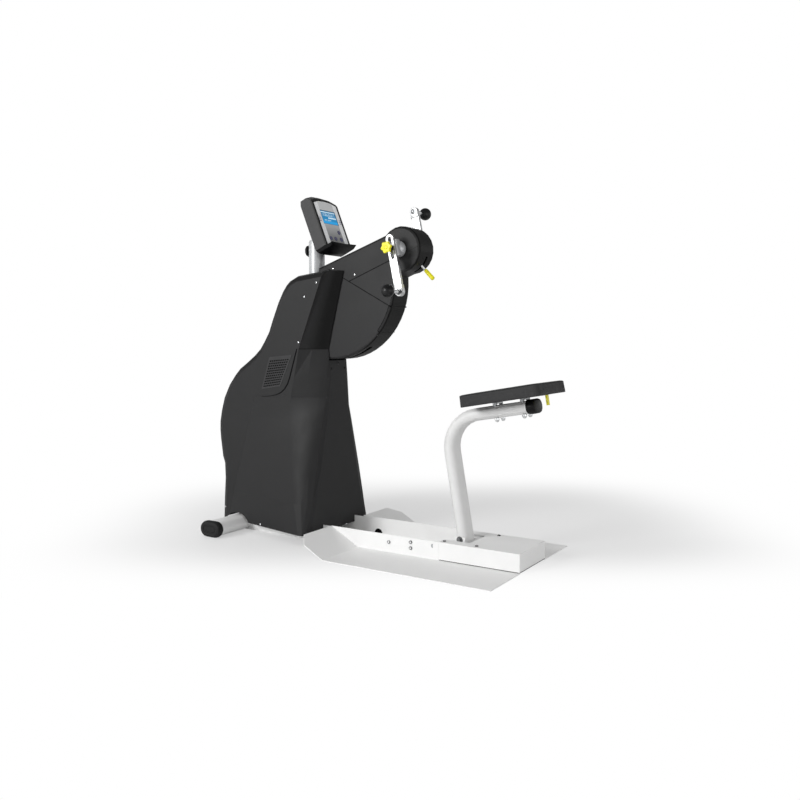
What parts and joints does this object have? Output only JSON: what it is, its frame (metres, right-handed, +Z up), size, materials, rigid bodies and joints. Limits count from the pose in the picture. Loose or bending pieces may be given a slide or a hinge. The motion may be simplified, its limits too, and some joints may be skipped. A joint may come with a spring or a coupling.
{
  "type": "arm ergometer",
  "caption": "Free-standing arm ergometer: housed column with a tilting crank arm, ball grips on adjustable cranks, a console on a mast, and a padded seat over a floor frame with wheel plates.",
  "frame": {"origin": "centre of the bounding box on the floor", "axes": "+X towards the seat, +Z up, -Y the left hand of a person sitting on the seat and facing the column"},
  "size_m": [1.6482, 0.76, 1.5425],
  "materials": {
    "white_powder": "satin powder coat",
    "grey_housing": "fine textured satin",
    "black_plastic": "satin",
    "gloss_black": "polished",
    "bright_aluminium": "satin polished",
    "silver_paint": "satin metallic",
    "chrome": "polished",
    "steel": "turned",
    "yellow_plastic": "satin gloss",
    "seat_cover": "grained vinyl",
    "pale_face": "satin",
    "screen": "gloss",
    "key": "satin",
    "rubber": "matt",
    "rotor": "turned",
    "magnet": "plated",
    "board": "plain"
  },
  "bodies": {
    "frame": {"base_beam": "white_powder", "beam_cover": "white_powder", "post_bracket": "white_powder", "post_clamp_bolt": "chrome", "rear_stabilizer": "white_powder", "column_frame": "steel", "front_shroud": "grey_housing", "rim_brake": "rubber", "brake_unit": "magnet", "lower_belt": "rubber", "mast": "silver_paint", "foot_plate_left": "white_powder", "stabilizer_cap_left": "rubber", "housing_left": "grey_housing", "pivot_bearing_left": "steel", "rotor_bearing_left": "steel", "foot_plate_right": "white_powder", "stabilizer_cap_right": "rubber", "housing_right": "grey_housing", "pivot_bearing_right": "steel", "rotor_bearing_right": "steel", "seat_post": "white_powder", "post_end_cap": "black_plastic", "seat_rails": "steel"},
    "layshaft": {"pivot_shaft": "steel"},
    "rotor": {"brake_rotor": "rotor"},
    "arm": {"arm_frame": "steel", "crank_bearing_left": "steel", "crank_bearing_right": "steel", "arm_cover_top": "grey_housing", "arm_cover_lower": "grey_housing", "sector_cover": "grey_housing", "rim_cover": "grey_housing", "upper_belt": "rubber"},
    "lever": {"release_lever": "chrome", "lever_grip": "yellow_plastic"},
    "crank": {"crank_axle": "steel", "hub_left": "bright_aluminium", "hub_right": "bright_aluminium"},
    "bar_left": {"crank_bar_left": "bright_aluminium", "spindle_left": "chrome"},
    "bar_right": {"crank_bar_right": "bright_aluminium", "spindle_right": "chrome"},
    "grip_left": {"ball_grip_left": "gloss_black"},
    "grip_right": {"ball_grip_right": "gloss_black"},
    "knob_left": {"star_knob_left": "yellow_plastic"},
    "knob_right": {"star_knob_right": "yellow_plastic"},
    "console_post": {"console_riser": "silver_paint"},
    "console": {"console_back": "grey_housing", "console_face": "pale_face", "display": "screen", "console_tray": "black_plastic"},
    "mast_knob": {"clamp_knob": "black_plastic"},
    "button_1": {"key_1": "key"},
    "button_2": {"key_2": "key"},
    "button_3": {"key_3": "key"},
    "button_4": {"key_4": "key"},
    "seat": {"seat_board": "board", "seat_pad": "seat_cover"},
    "seat_release": {"seat_lever": "yellow_plastic"}
  },
  "joints": [
    {"name": "arm_tilt", "type": "hinge", "parent": "frame", "child": "arm", "pos_m": [-0.20005, 0, 1.145], "axis": [0, -1, 0], "range_deg": [-30, 12]},
    {"name": "crank_spin", "type": "hinge", "parent": "arm", "child": "crank", "pos_m": [0.15691, 0, 1.28102], "axis": [0, 1, 0], "continuous": true},
    {"name": "layshaft_spin", "type": "hinge", "parent": "arm", "child": "layshaft", "pos_m": [-0.20005, 0, 1.145], "axis": [0, 1, 0], "continuous": true},
    {"name": "rotor_spin", "type": "hinge", "parent": "frame", "child": "rotor", "pos_m": [-0.55405, 0, 0.48], "axis": [0, 1, 0], "continuous": true},
    {"name": "crank_length_left", "type": "slide", "parent": "crank", "child": "bar_left", "axis": [0.2079, 0, -0.9781], "range_m": [-0.035, 0.035]},
    {"name": "crank_length_right", "type": "slide", "parent": "crank", "child": "bar_right", "axis": [-0.2079, 0, 0.9781], "range_m": [-0.035, 0.035]},
    {"name": "grip_spin_left", "type": "hinge", "parent": "bar_left", "child": "grip_left", "pos_m": [0.19517, 0, 1.10105], "axis": [0, 1, 0], "continuous": true},
    {"name": "grip_spin_right", "type": "hinge", "parent": "bar_right", "child": "grip_right", "pos_m": [0.11866, 0, 1.461], "axis": [0, 1, 0], "continuous": true},
    {"name": "knob_turn_left", "type": "hinge", "parent": "crank", "child": "knob_left", "pos_m": [0.15691, 0, 1.28102], "axis": [0, 1, 0], "range_deg": [0, 540]},
    {"name": "knob_turn_right", "type": "hinge", "parent": "crank", "child": "knob_right", "pos_m": [0.15691, 0, 1.28102], "axis": [0, -1, 0], "range_deg": [0, 540]},
    {"name": "release_squeeze", "type": "hinge", "parent": "arm", "child": "lever", "pos_m": [0.15691, 0, 1.28102], "axis": [0, 1, 0], "range_deg": [-22, 22], "stiffness_Nm_per_rad": 8},
    {"name": "console_height", "type": "slide", "parent": "frame", "child": "console_post", "axis": [0, 0, 1], "range_m": [0, 0.06]},
    {"name": "console_tilt", "type": "hinge", "parent": "console_post", "child": "console", "pos_m": [-0.32905, 0, 1.4], "axis": [0, -1, 0], "range_deg": [-5, 15]},
    {"name": "mast_knob_turn", "type": "hinge", "parent": "frame", "child": "mast_knob", "pos_m": [-0.36505, 0, 1.306], "axis": [-1, 0, 0], "range_deg": [0, 540]},
    {"name": "press_1", "type": "slide", "parent": "console", "child": "button_1", "axis": [-0.9245, 0, -0.3811], "range_m": [0, 0.0015], "stiffness_N_per_m": 400, "springref_m": -0.001},
    {"name": "press_2", "type": "slide", "parent": "console", "child": "button_2", "axis": [-0.9245, 0, -0.3811], "range_m": [0, 0.0015], "stiffness_N_per_m": 400, "springref_m": -0.001},
    {"name": "press_3", "type": "slide", "parent": "console", "child": "button_3", "axis": [-0.9245, 0, -0.3811], "range_m": [0, 0.0015], "stiffness_N_per_m": 400, "springref_m": -0.001},
    {"name": "press_4", "type": "slide", "parent": "console", "child": "button_4", "axis": [-0.9245, 0, -0.3811], "range_m": [0, 0.0015], "stiffness_N_per_m": 400, "springref_m": -0.001},
    {"name": "seat_slide", "type": "slide", "parent": "frame", "child": "seat", "axis": [0.9842, 0, 0.1771], "range_m": [-0.035, 0.06]},
    {"name": "seat_lever_pull", "type": "hinge", "parent": "seat", "child": "seat_release", "pos_m": [0.79375, 0, 0.7025], "axis": [0, -1, 0], "range_deg": [0, 15], "stiffness_Nm_per_rad": 0.5}
  ],
  "couplings": [
    {"joint": "layshaft_spin", "follows": "crank_spin", "ratio": 2.4286},
    {"joint": "rotor_spin", "follows": "crank_spin", "ratio": 4.8571}
  ]
}
